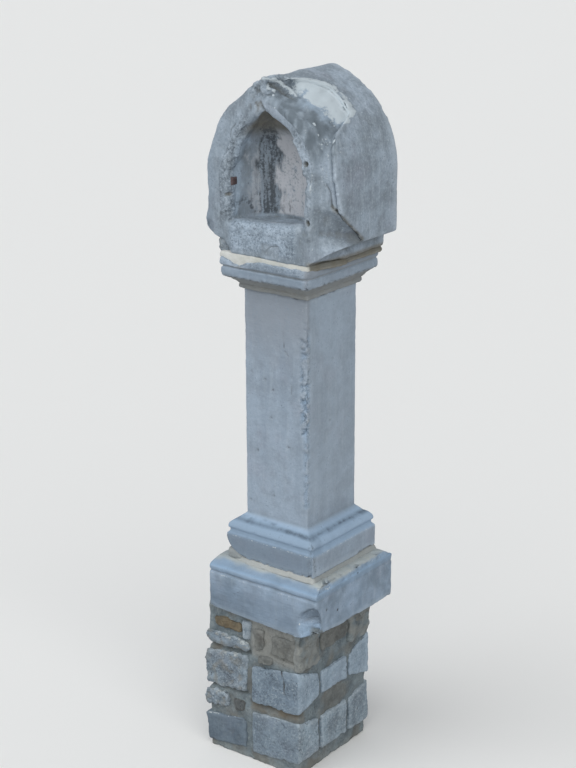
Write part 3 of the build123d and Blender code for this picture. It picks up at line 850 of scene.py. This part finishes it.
# Shaft with its base, capital and lower block. A profile is (share of the reach, height), and a
# reach is how far the moulding stands outside the shaft at the sides and at the front.
shaft = {
    "radius": 5,
    "profile": [(1.0, 0), (1.0, 68), (0.99, 73), (0.93, 76), (0.82, 82), (0.80, 91), (0.90, 96),
                (0.92, 101), (0.86, 110), (0.70, 120), (0.52, 126), (0.44, 127), (0.40, 130), (0.0, 149),
                (0.0, 924)],
    "breakMiddle": (-68, 809),      # the lower left corner of the base has broken off round this
    "breakHalf": (108, 72),
    "look": {"swell": 1.2, "rough": 0.7, "pit": 1.2, "pitSize": 22, "chip": 5.0, "chipSize": 30},
}
capital = {
    "radius": 7,
    "reach": (46, 62),
    "profile": [(0.0, 0), (0.22, 0), (0.27, 4), (0.27, 12), (0.22, 16), (0.30, 19), (0.42, 27), (0.66, 38),
                (0.86, 43), (0.95, 46), (0.97, 52), (0.95, 72), (0.88, 75), (0.87, 79), (0.96, 82),
                (1.0, 88), (0.98, 100), (0.93, 106), (0.82, 107)],
    "look": {"swell": 1.6, "rough": 1.4, "pit": 1.2, "pitSize": 18, "chip": 7.0, "chipSize": 46},
}
block = {
    "radius": 6,
    "front": [(0, 0), (0, 131), (-1, 134), (-6, 137), (-6, 141), (-1, 144), (1, 150), (1, 157), (-2, 161),
              (-12, 165), (-42, 182)],
    "sideTop": 170,         # over this height the two sides lean in, by the next share
    "sideLean": 0.9,
    "spall": {"place": (10, -96, 36), "radius": 125},       # a ball, placed from the front right foot
    "look": {"swell": 1.6, "rough": 1.1, "pit": 0.8, "pitSize": 24, "chip": 4.0, "chipSize": 40},
}

shaftLow, shaftHigh = nodeBox("shaft")
shaftHalfX, shaftHalfY = 125, 135
baseReach = shaftHigh[:2] - (shaftHalfX, shaftHalfY)


# A moulding: its profile, scaled to its reach, carried round the shaft's outline.
def mouldedRows(settings, reach, bottom, *spacing):
    profile = [(share * reach[0], share * reach[1], bottom + up) for share, up in settings["profile"]]
    return profileRows(profile, (0, 0), shaftHalfX, shaftHalfY, settings["radius"], *spacing)


# Takes a ball out of rows of rings: points nearer to its middle than its radius move out to it.
def bite(rows, middle, radius):
    away = rows - np.array(middle)
    far = np.linalg.norm(away, axis=2, keepdims=True)
    return np.where(far < radius, np.array(middle) + away * (radius / np.maximum(far, 1)), rows)


# Rounds a lower left corner off, seen from the front: left of and below the middle of an ellipse, what
# stands outside it moves in to it, p = m + (p - m) / |p - m|, measured in its half sizes.
def roundedCorner(rows, middle, half, share):
    away = (rows[..., [0, 2]] - np.array(middle)) / np.array(half)
    far = np.linalg.norm(away, axis=-1)
    outside = (away < 0).all(axis=-1) * (far > 1) * share
    result = rows.copy()
    moved = away * ((1 - 1 / np.maximum(far, 1)) * outside)[..., None]
    result[..., [0, 2]] -= moved * np.array(half)
    return result


rows = mouldedRows(shaft, baseReach, shaftLow[2], 4.2, 1.2, 60)
front, side = -shaftHalfY, shaftHalfX
wornArris = 0.5 * patch(rows, (side, front, 1280), (6, 6, 320), 16)
wornArris = np.maximum(wornArris, patch(rows, (side - 5, front, 1370), (13, 8, 160), 16))
flecked = patch(rows, (side - 14, front, 1440), (20, 6, 190), 24) * blotches(rows, 40, 106, -0.2, 0.4)
nicks = spotMark(rows, [
    (-100, -135, 1381, 4), (-13, -135, 1334, 5), (-77, -135, 1114, 5), (-19, -135, 1239, 4),
    (50, -135, 1150, 5), (-107, -135, 933, 4), (-11, -135, 967, 4), (-43, -135, 1365, 4),
    (125, -9, 1224, 4), (125, 6, 1432, 4)])
split = lineMark(rows, [(31, 1535), (34, 1478), (60, 1449), (64, 1408), (62, 1332)], 5)
split = split * (rows[..., 1] < -110) * blotches(rows, 40, 103, -0.5, 0.1)
rows = weather(rows, shaft["look"], 101, 0.25 + wornArris)
flaking = cloud(rows, 26, 107, 3)
flakes = ease(-0.2, 0.1, flaking) + ease(0.15, 0.4, flaking)
flakeRims = wornArris * (ease(0.09, 0.0, np.abs(flaking + 0.05)) + ease(0.09, 0.0, np.abs(flaking - 0.26)))
rows = sink(rows, wornArris * flakes * 4 + 3 * nicks + 2 * split)
rows = roundedCorner(rows, shaft["breakMiddle"], shaft["breakHalf"], 1 - ease(-130, -60, rows[..., 1]))
x, y, z = axes(rows)
baseCorner = patch(rows, (181, -180, 800), (12, 12, 60), 14)
brokenUp = blotches(rows, 24, 108, -0.3, 0.4)
topLine = lineMark(rows, [(-181, 864), (-60, 862), (70, 865), (181, 862)], 8) * (0.5 + 0.5 * brokenUp)
topLine = topLine + 0.6 * lineMark(rows, [(-130, 872), (-60, 874), (20, 871)], 6) * brokenUp
rows = sink(rows, baseCorner * (1 + brokenUp * 5) + topLine)
bands = blotches(rows, (50, 50, 420), 104, -0.1, 0.5)
onSide = ease(0.5, 0.9, outward(rows)[..., 0]) * ease(890, 960, z)
onTorus = band(z, 802, 810, 868, 880) * ease(-110, -128, y)
grimeAndShade = bands * 0.14 * ease(900, 960, z) * (1 - 0.6 * onSide) + topLine + 0.25 * onTorus
# Painted shade on the base's front faces, low down, and in the groove line under the roll; the torus's
# front is darker too, with stains in bands above. Painted light: sky light on the splay and the torus, and
# the side face above 890 paler.
marks = wearAndShadeMarks(rows, 0.62 * ease(830, 800, z), {
    "arris": 0.4 * onSide,
    "lime": lineMark(rows, [(-181, 808), (181, 808)], 5) * 0.55 + flecked * 0.3 + wornArris * 0.12,
    "crack": nicks * 0.5 + split * 0.6,
    "deep": grimeAndShade + flakeRims * 0.9,
    "shadow": 0.2 * baseCorner * brokenUp,
    "rough": wornArris * 0.7 + flecked * 0.3 + baseCorner * 0.7 + topLine * 0.4,
    "ashenAndLit": ease(1350, 1620, z) * 0.8 * ease(-110, -128, y),
    "coolAndSkyLit": band(z, 800, 815, 870, 895) + 0.5 * wornArris * flakes,
})
skin("shaft_stone", rows, marks, "dressedBlue", "shaft")


# How far the top edge of the capital's front is chipped down, along X.
def chippedDown(x):
    return np.interp(x, [-165, -146, -124, -104, -84, -60, -30, 165], [0, 7, 16, 20, 15, 6, 0, 0])


low, high = nodeBox("capital")
rows = mouldedRows(capital, capital["reach"], low[2], 2.6, 1.3, 56)
x, y, z = axes(rows)
dip = chippedDown(x) + 3 * cloud(rows, 22, 5, 3)
rows = shift(rows, (0, 0.3, -1.0), dip * ease(-160, -178, y) * ease(1738, 1764, z))
x, y, z = axes(rows)
under = band(z, 1698, 1703, 1707, 1716) * blotches(rows, 12, 15, -0.1, 0.5)
rows = shift(rows, (0, 0, 1.0), under * 4) - outward(rows) * (under * 2)[..., None]
rows[..., 0] -= 6 * ease(-140, -168, x) * ease(1700, 1725, z)
corner = patch(rows, (171, -197, 1738), (6, 6, 36), 14)
rows = sink(rows, corner * (2 + 4 * blotches(rows, 20, 16, -0.2, 0.5, 2)))
rows = weather(rows, capital["look"], 121)
x, y, z = axes(rows)
darkTop = patch(rows, (20, -197, 1754), (110, 20, 9), 30)
# Painted shade on the front below the groove and under the lower arris, where the cavetto also turns
# brownish; painted light on the side of the upper band, which the head's overhang shades.
marks = wearAndShadeMarks(rows, 0.35 * ease(1740, 1730, z) + 0.4 * darkTop, {
    "shadow": ease(1712, 1700, z) * 0.3,
    "warm": ease(1712, 1700, z) * 0.45 + lineMark(rows, [(-190, 1740), (190, 1740)], 5) * 0.4,
    "rough": ease(1738, 1756, z) * (0.2 + 0.8 * ease(-172, -180, y)) + corner * 0.6,
    "crack": lineMark(rows, [(-190, 1705), (190, 1709)], 5) * blotches(rows, 20, 17, -0.2, 0.4) * 0.6,
    "ashenAndLit": corner * 0.8 + 0.8 * ease(1738, 1750, z) * ease(158, 166, x),
})
skin("capital_stone", rows, marks, "dressedBlue", "capital")

low, high = nodeBox("lower_block")
halfX, halfY, bottom, top = high[0], high[1], low[2], high[2]
profile = [(min(0, (block["sideTop"] - up) * block["sideLean"]), out, bottom + up)
           for out, up in block["front"]]
rows = profileRows(profile, (0, 0), halfX, halfY, block["radius"], 3.4, 1.0, 62)
x, y = rows[..., 0], rows[..., 1]
footLift = np.interp(x, [-223, 150, 223], [10, -8, 10]) + 9 * ease(170, 222, x) * ease(-60, -190, y)
rows[..., 2] += footLift * ease(bottom + 80, bottom, rows[..., 2])
ragged = patch(rows, (halfX - 4, 0, top - 8), (10, 230, 8), 12)
rows = weather(rows, block["look"], 141, 0.4)
rows = sink(rows, ragged * 6 * blotches(rows, 34, 147, -0.3, 0.6))
spallAt = np.array([halfX, -halfY, bottom]) + block["spall"]["place"]
shell = block["spall"]["radius"] + 2.5 * cloud(rows, 40, 151, 3)
isSpall = ease(7, 0, np.linalg.norm(rows - spallAt, axis=2) - shell)
rows = bite(rows, spallAt, shell[..., None])
ridges = sum(lineMark(rows, corners, 6) for corners in [
    [(150, 575), (154, 600), (166, 618), (187, 636), (213, 652)],
    [(172, 585), (180, 600), (197, 611), (217, 618)], [(188, 570), (200, 585), (216, 592)]])
notch = patch(rows, (208, -212, 556), (14, 20, 9), 12)
pinHoles = spotMark(rows, [(223, -98, 609, 5), (223, -161, 632, 4), (223, 20, 700, 4)])
rows = sink(rows, isSpall * (2 + 5 * ridges) + 8 * notch + 4 * pinHoles)
z = rows[..., 2]
edgeWear = 0.3 * band(z, bottom + 128, bottom + 140, bottom + 160, bottom + 170)
onTop = 0.25 * ease(bottom + 134, bottom + 146, z)
stained = 0.16 * blotches(rows, (110, 110, 50), 154, -0.2, 0.6) * (1 - isSpall)
quirk, highlightLine = (lineMark(rows, [(-223, bottom + up), (223, bottom + up)], 5) for up in (131, 161))
bedSmear = 0.75 * ease(top - 13, top - 1, z + 5 * cloud(rows, 50, 156, 3))
lightPatch = 0.2 * blotches(rows, (90, 90, 60), 155, 0, 0.6)
litLowSpall = isSpall * ease(600, 585, z) * 0.6
# Painted shade on the front faces, deeper towards the foot, and in the upper part of the spall. Painted
# light: sky light on the top band, which is also darker and bluer, on the low part of the spall, and a
# highlight along the upper line.
marks = wearAndShadeMarks(rows, 0.5 * ease(bottom + 145, bottom + 60, z) * (1 - 0.7 * isSpall), {
    "rough": isSpall * 0.5 + edgeWear * blotches(rows, 40, 152, 0, 0.4),
    "deep": isSpall * 0.6 * ease(590, 620, z) + onTop + stained,
    "lime": ragged * 0.36 + spotMark(rows, [(154, -218, 582, 5)]) + quirk * 0.5,
    "crack": ridges * isSpall * 0.42 * blotches(rows, 20, 153, -0.4, 0.3) + pinHoles,
    "warm": notch * 0.25 + bedSmear,
    "shadow": notch * 0.6,
    "coolAndSkyLit": ease(bottom + 140, bottom + 146, z) * 0.7 + litLowSpall + 0.8 * highlightLine + lightPatch,
})
skin("block_stone", rows, marks, "blockBlue", "lower_block")
print("dressed stones made")


# A lump with a round box for its plan and its side: |x|^p + |y|^p + |z|^p = 1, scaled.
def lumpRows(middle, half, ring, count, power=4):
    turn = np.linspace(0, 2 * np.pi, ring, endpoint=False)
    tilt = np.linspace(-np.pi / 2, np.pi / 2, count + 2)[1:-1, None]
    way = (np.cos(tilt) * np.cos(turn), np.cos(tilt) * np.sin(turn), np.sin(tilt))
    way = np.stack(np.broadcast_arrays(*way), axis=-1)
    size = np.sum(np.abs(way) ** power, axis=-1, keepdims=True) ** (-1 / power)
    return np.array(middle) + way * size * np.array(half)


# Beds of lime mortar: under the head, and under the base with the fill of its broken corner.
# The neck's broken left corner is packed with a rougher lump.
bedLook = {"swell": 1.4, "rough": 1.4, "roughSize": 22, "pit": 0, "chip": 2.5}
low, high = nodeBox("head_bed")
bottom, headBedTop = low[2], high[2]
profile = [(-4, 0, bottom - 7), (0, 3, bottom - 2), (0, 3, bottom + 4), (-3, 1, headBedTop),
           (-12, -8, headBedTop + 4)]
rows = profileRows(profile, (0, 0), high[0] - 8, -low[1] - 4, 8, 2.4, 1.6, 60)
x, y = rows[..., 0], rows[..., 1]
turnFrom = 120      # right of this the side follows the neck
neckSide = np.interp(y, [-191, -29, 0], [164, 203, 194])
stretch = (neckSide - turnFrom) / (high[0] - 6 - turnFrom)
rows[..., 0] = np.where(x > turnFrom, turnFrom + (x - turnFrom) * stretch, x)
rows[..., 2] -= chippedDown(x) * ease(-165, -178, y) * (rows[..., 2] < bottom + 2)
rows = weather(rows, bedLook, 161)
x, y, z = axes(rows)
onSide = ease(-180, -172, y) * ease(120, 150, x)
marks = wearAndShadeMarks(rows, 0, {"deep": onSide * ease(bottom - 2, bottom + 3, z), "warm": onSide})
skin("head_bed_mortar", rows, marks, "creamMortar", "head_bed")

bottom, top = nodeBox("base_bed")[0][2], shaftLow[2]
profile = [(5, 5, bottom - 4), (4, 4, bottom + 2), (0, 0, top - 2), (-5, -5, top + 3), (-16, -16, top + 6)]
rows = profileRows(profile, (0, 0), shaftHalfX + baseReach[0], shaftHalfY + baseReach[1], 10, 2.6, 2, 60)
rows[..., 1] += 16 * ease(-60, -190, rows[..., 0]) * ease(-100, -180, rows[..., 1])
rows = weather(rows, bedLook, 171)
deep = 0.5 + 0.25 * ease(-176, -168, rows[..., 1]) + 0.3 * ease(-120, -160, rows[..., 0])
skin("base_bed_mortar", rows, wearAndShadeMarks(rows, 0, {"deep": deep}), "creamMortar", "base_bed")

rows = lumpRows((-174, -158, headBedTop + 22), (26, 22, 25), 64, 40, 3.2)
rows = weather(rows, {**bedLook, "swell": 5, "swellSize": 34, "rough": 2.5, "chip": 5}, 176)
skin("neck_fill_mortar", rows, wearAndShadeMarks(rows, 0, {"rough": 0.8}), "greyMortar", "head_bed")

rows = lumpRows((-147, -146, 738), (32, 30, 19), 60, 34)
rows = weather(rows, {**bedLook, "swell": 4, "swellSize": 40}, 181)
skin("base_fill_mortar", rows, wearAndShadeMarks(rows, 0, {"deep": 0.8}), "creamMortar", "base_bed")
print("mortar beds made")


# Stones of the plinth: finish, look, how round the outline is, how pitted the stone is, how much painted
# shade darkens its front faces, and X and Z, seen from the front, of its top left, top right, foot left
# and foot right corners.
lookKeys = ("swell", "swellSize", "rough", "roughSize", "pit", "pitSize", "chip")
rubble, dressed, coarse = (dict(zip(lookKeys, values)) for values in [
    (5.0, 55, 2.6, 20, 3.0, 15, 6.0), (3.5, 80, 1.8, 22, 3.0, 13, 7.0), (4.5, 55, 3.8, 18, 5.0, 15, 6.0)])
plinthStones = {
    "footing_block": ("footingBlue", dressed, 0.10, 0.1, 0.1, -268, 124, -88, 147, -254, 22, -84, 38),
    "small_block": ("plinthBlue", coarse, 0.30, 0.8, 0.3, -266, 218, -161, 231, -262, 158, -160, 170),
    "pinning_stone": ("tinyBrown", rubble, 0.40, 0.5, 0.1, -138, 212, -92, 218, -132, 168, -91, 168),
    "rough_block": ("plinthBlue", coarse, 0.12, 1.0, 0.3, -262, 369, -77, 393, -260, 238, -83, 252),
    "long_stone": ("plinthBlue", coarse, 0.35, 0.8, 0.5, -260, 450, -73, 444, -261, 398, -72, 404),
    "ochre_stone": ("ochreStone", rubble, 0.40, 0.3, 0.0, -222, 508, -101, 510, -217, 462, -99, 474),
    "upright_stone": ("plinthBlue", dressed, 0.10, 0.1, 0.0, -98, 518, -64, 518, -96, 450, -64, 455),
    "low_quoin": ("plinthBlue", dressed, 0.08, 0.4, 0.5, -60, 187, 142, 203, -58, 32, 143, 48),
    "high_quoin": ("plinthBlue", dressed, 0.08, 0.35, 0.45, -57, 367, 142, 390, -65, 222, 143, 230),
    "rubble_end": ("brownRubble", rubble, 0.35, 0.3, 0.0, -50, 502, -4, 508, -47, 420, -4, 428),
    "rubble_low": ("brownRubble", rubble, 0.45, 0.3, 0.0, -38, 408, 30, 415, -34, 374, 36, 386),
    "rubble_block": ("brownRubble", rubble, 0.25, 0.3, 0.0, 22, 496, 142, 504, 27, 428, 143, 424),
}
# How fast the top and the foot of a quoin rise, from the face inwards, as far as a stone is deep
sideLeans = {"high_quoin": (-0.36, 0.29), "low_quoin": (-0.22, 0.04)}
faceY, stoneDepth = 206, 118
columnSpacing = 6.4     # how far apart the points along a stone's face are
# Lime run over a stone's top: how much, the shares of the height between which it starts, and its blotches
limeTops = {
    "footing_block": (0.5, 0.9, 1.0, 30, -0.3, 0.3),
    "small_block": (0.5, 0.72, 0.95, 30, -0.3, 0.3),
    "rough_block": (0.5, 0.72, 0.95, 30, -0.3, 0.3),
    "long_stone": (0.55, 0.5, 0.75, 40, -0.4, 0.1),
}
stoneNames = [n for n in sorted(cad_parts) if n.startswith(("front_", "back_", "left_", "right_"))]
for number, node in enumerate(stoneNames):
    face, kind = node.split("_", 1)
    finish, look, roundness, pitted, grimeAndShade, *corners = plinthStones[kind]
    low, high = nodeBox(node)
    middle, half = (low + high) / 2, (high - low) / 2
    profile = [(-3, -3, low[2]), (0, 0, low[2] + 5), (0, 0, high[2] - 5), (-3, -3, high[2])]
    perSide = int(2 * half[:2].mean() / columnSpacing)
    rows = profileRows(profile, middle, half[0], half[1], 9, 5, 3, perSide, 7)
    topLeft, topRight, footLeft, footRight = np.array(corners, float).reshape(4, 2)
    onFace = face in ("front", "back")
    across, up = ((rows[..., k] - middle[k]) / half[k] for k in (0, 2))
    up = up * np.sqrt(1 - roundness * across ** 2 / 2) if onFace else up
    wide = across * np.sqrt(1 - roundness * up ** 2 / 2)
    shareX = (wide[..., None] + 1) / 2 if onFace else float(face == "right")
    shareZ = (up[..., None] + 1) / 2
    placed = (footLeft + (footRight - footLeft) * shareX) * (1 - shareZ)
    placed = placed + (topLeft + (topRight - topLeft) * shareX) * shareZ
    shareZ = shareZ[..., 0]
    rows[..., 2] = placed[..., 1]
    if onFace:
        rows[..., 0] = placed[..., 0]
    if kind in sideLeans and face != "left":
        topLean, footLean = sideLeans[kind]
        fromFace = np.minimum(faceY - np.abs(rows[..., 1]), stoneDepth)
        rows[..., 2] += fromFace * (footLean + (topLean - footLean) * shareZ)
    rows = weather(rows, look, 200 + 13 * number)
    normals = outward(rows)
    forward = 0.35 + 0.65 * ease(-0.3, -0.8, normals[..., 1])
    rough = pitted * forward * blotches(rows, 60, 300 + number, -0.5, 0.3, 2)
    # Painted shade darkens the faces that turn to the front, by the stone's amount in the table.
    marks = wearAndShadeMarks(rows, grimeAndShade, {"rough": rough})
    if kind in limeTops:
        amount, starts, full, size, *levels = limeTops[kind]
        marks["lime"] = amount * ease(starts, full, shareZ) * blotches(rows, size, 330 + number, *levels, 2)
    if kind == "high_quoin":
        # The high quoin is bluer all over, and its side face is painted paler, as lit.
        onSide = ease(0.3, 0.8, normals[..., 0])
        addMarks(marks, {"coolAndSkyLit": 0.3 + 0.1 * onSide, "arris": 0.5 * onSide})
    if node == "front_high_quoin":
        split = lineMark(rows, [(66, 400), (74, 350), (80, 292)], 7) * ease(-150, -190, rows[..., 1])
        hollow = patch(rows, (106, -206, 320), (26, 12, 20), 12)
        rows = sink(rows, hollow * (1 + 3 * pits(rows, 14, 303)) + 4 * split)
        pocked = hollow + 0.6 * patch(rows, (-10, -206, 310), (50, 12, 50), 40)
        addMarks(marks, {"crack": split * 0.8, "rough": pocked})
    if kind in ("rough_block", "small_block"):
        marks["warm"] = blotches(rows, 34, 307 + number, 0.0, 0.5) * 0.4
    if kind == "long_stone":
        marks["warm"] = blotches(rows, (40, 40, 14), 305, 0.1, 0.5) * 0.5
        marks["shadow"] = ease(0.5, 0.15, shareZ) * blotches(rows, (30, 30, 12), 306, -0.3, 0.3) * 0.5
    skin(node + "_face", rows, marks, finish, node)

# Mortar of the plinth: a core a little inside the stones' faces, with uneven joints.
coreLook = {"swell": 3.0, "swellSize": 60, "rough": 2.6, "pit": 2.0, "pitSize": 16, "chip": 3.0}
low, high = nodeBox("plinth_mortar")
low[0] -= 9
middle, half = (low + high) / 2, (high - low) / 2
profile = [(-1, -1, low[2]), (0, 0, high[2] - 8), (-2, -2, high[2] + 8)]
rows = profileRows(profile, middle, half[0], half[1], 12, 5, 2, 76)
rows = weather(rows, coreLook, 191)
gaps = sum(lineMark(rows, corners, halfWidth) for corners, halfWidth in [
    ([(-64, 216), (143, 226)], 16), ([(-260, 394), (-150, 390), (-76, 402)], 14),
    ([(-260, 233), (-84, 247)], 10), ([(22, 422), (143, 418)], 8)])
rows = sink(rows, 9 * ease(0, 0.8, gaps) * ease(-150, -180, rows[..., 1]))
upper = patch(rows, (60, -200, 470), (110, 30, 60), 30)
belowQuoin = patch(rows, (40, -197, 212), (104, 30, 14), 12)
limeSmear = patch(rows, (-170, -206, 456), (90, 20, 7), 8) * blotches(rows, (40, 40, 14), 196, -0.3, 0.3)
marks = wearAndShadeMarks(rows, 0, {
    "warm": blotches(rows, 90, 192, 0.0, 0.5, 2) * 0.5 * (1 - upper) + 0.5 * belowQuoin,
    "shadow": 0.8 * lineMark(rows, [(-64, 219), (143, 227)], 8) * ease(-150, -180, rows[..., 1]),
    "rough": 0.5 * blotches(rows, 50, 193, -0.2, 0.4, 2),
    "coolAndSkyLit": upper,
    "lime": np.maximum(0.3 * patch(rows, (-244, -206, 490), (18, 20, 30), 14), 0.4 * limeSmear),
})
skin("plinth_mortar_core", rows, marks, "earthMortar", "plinth_mortar")

# Mortar smeared over the ends of the upper rubble, on the right side
smearLook = {**coreLook, "swell": 8.0, "rough": 4.0, "pit": 3.0, "chip": 4.0}
for number, end in enumerate(("front", "back")):
    rows = lumpRows((133, (-146, 146)[number], 462), (13, 60, 74), 84, 60, 7)
    rows = weather(rows, smearLook, 194 + number)
    marks = wearAndShadeMarks(rows, 0, {
        "coolAndSkyLit": 0.8 * blotches(rows, 50, 198, -0.5, 0.3),
        "rough": 0.5 * blotches(rows, 40, 199, -0.2, 0.4, 2)})
    skin("smeared_mortar_" + end, rows, marks, "earthMortar", "plinth_mortar")

# Plug of rusty iron in the niche's left reveal
low, high = nodeBox("iron_plug")
high[0] -= 6
rows = lumpRows((low + high) / 2, (high - low) / 2, 64, 40, 12)
plugLook = {"swell": 0.8, "swellSize": 30, "rough": 0.7, "roughSize": 8, "pit": 0, "chip": 1.5}
rows = weather(rows, plugLook, 197)
skin("rusty_plug", rows, wearAndShadeMarks(rows), "rustyIron", "iron_plug")
print("plinth and plug made")


# The photograph's camera: where it stands in metres, and how it is turned, in degrees. The picture's
# height, imageHeight pixels, falls on sensorWidth millimetres, focalPixels away.
camera = {
    "place": (3.350, -4.496, 3.176),
    "turnedLeft": 37.12,
    "lookingDown": 18.30,
    "rolled": -0.24,
    "focalPixels": 1800,
    "imageHeight": 768,
    "sensorWidth": 36.0,
}


# It is tipped up from looking straight down, turned left about Z, and rolled about its own axis.
def makeCamera(settings):
    data = bpy.data.cameras.new("view")
    data.sensor_width = settings["sensorWidth"]
    data.lens = settings["focalPixels"] / settings["imageHeight"] * settings["sensorWidth"]
    eye = bpy.data.objects.new("view", data)
    bpy.context.scene.collection.objects.link(eye)
    turn = Euler((math.radians(90 - settings["lookingDown"]), 0, math.radians(settings["turnedLeft"])))
    roll = Euler((0, 0, math.radians(settings["rolled"])))
    eye.matrix_world = turn.to_matrix().to_4x4() @ roll.to_matrix().to_4x4()
    eye.location = settings["place"]
    bpy.context.scene.camera = eye


makeCamera(camera)


# The studio: a pale floor, a soft sky, and two wide lamps: a key from the left and a weaker fill.
studio = {
    "floorHalf": 60.0,
    "floorSeen": (0.88, 0.88, 0.87, 1.0),
    "floorBounce": (0.55, 0.55, 0.55, 1.0),
    "skyStrength": 0.4,
    "skyColour": (0.93, 0.96, 1.0, 1.0),
    "backdrop": (0.79, 0.795, 0.80, 1.0),
    "lamps": [
        {"name": "key", "towards": (-0.35, -0.60, 0.72), "angle": 50, "power": 1.1,
         "colour": (0.98, 0.99, 1.0)},
        {"name": "fill", "towards": (0.60, -0.62, 0.50), "angle": 70, "power": 1.6,
         "colour": (1.0, 0.99, 0.96)},
    ],
}


# The camera sees the floor paler than what it throws back at the stone.
def plainFloor(settings):
    reach = settings["floorHalf"]
    mesh = bpy.data.meshes.new("floor")
    mesh.from_pydata([(-reach, -reach, 0), (reach, -reach, 0), (reach, reach, 0), (-reach, reach, 0)],
                     [], [(0, 1, 2, 3)])
    floor = bpy.data.objects.new("floor", mesh)
    bpy.context.scene.collection.objects.link(floor)
    material = bpy.data.materials.new("floorPaint")
    material.use_nodes = True
    surface = material.node_tree.nodes["Principled BSDF"]
    pen = Wire(material.node_tree)
    seen = pen.node("ShaderNodeLightPath", {}, {}, "Is Camera Ray")
    colour = seen.mix(settings["floorBounce"], settings["floorSeen"])
    material.node_tree.links.new(colour.socket, surface.inputs["Base Color"])
    surface.inputs["Roughness"].default_value = 0.9
    mesh.materials.append(material)


# The backdrop shows at full strength where it is seen, and the sky lights the stone at its own.
def lightStudio(settings):
    world = bpy.data.worlds.new("studio")
    bpy.context.scene.world = world
    world.use_nodes = True
    pen = Wire(world.node_tree)
    sky = world.node_tree.nodes["Background"]
    rays = {key: pen.node("ShaderNodeLightPath", {}, {}, key) for key in
            ("Is Camera Ray", "Is Glossy Ray", "Is Transmission Ray")}
    seen = rays["Is Camera Ray"] + rays["Is Glossy Ray"] + rays["Is Transmission Ray"]
    seen = seen.maths("MINIMUM", seen, 1.0)
    colour = seen.mix(settings["skyColour"], settings["backdrop"])
    strength = seen * (1 - settings["skyStrength"]) + settings["skyStrength"]
    world.node_tree.links.new(colour.socket, sky.inputs["Color"])
    world.node_tree.links.new(strength.socket, sky.inputs["Strength"])
    for lamp in settings["lamps"]:
        light = bpy.data.lights.new(lamp["name"], "SUN")
        light.angle = math.radians(lamp["angle"])
        light.energy, light.color = lamp["power"], lamp["colour"]
        holder = bpy.data.objects.new(lamp["name"], light)
        bpy.context.scene.collection.objects.link(holder)
        holder.rotation_euler = Vector(lamp["towards"]).to_track_quat("Z", "Y").to_euler()


plainFloor(studio)
lightStudio(studio)
bpy.context.scene.view_settings.view_transform = "Standard"
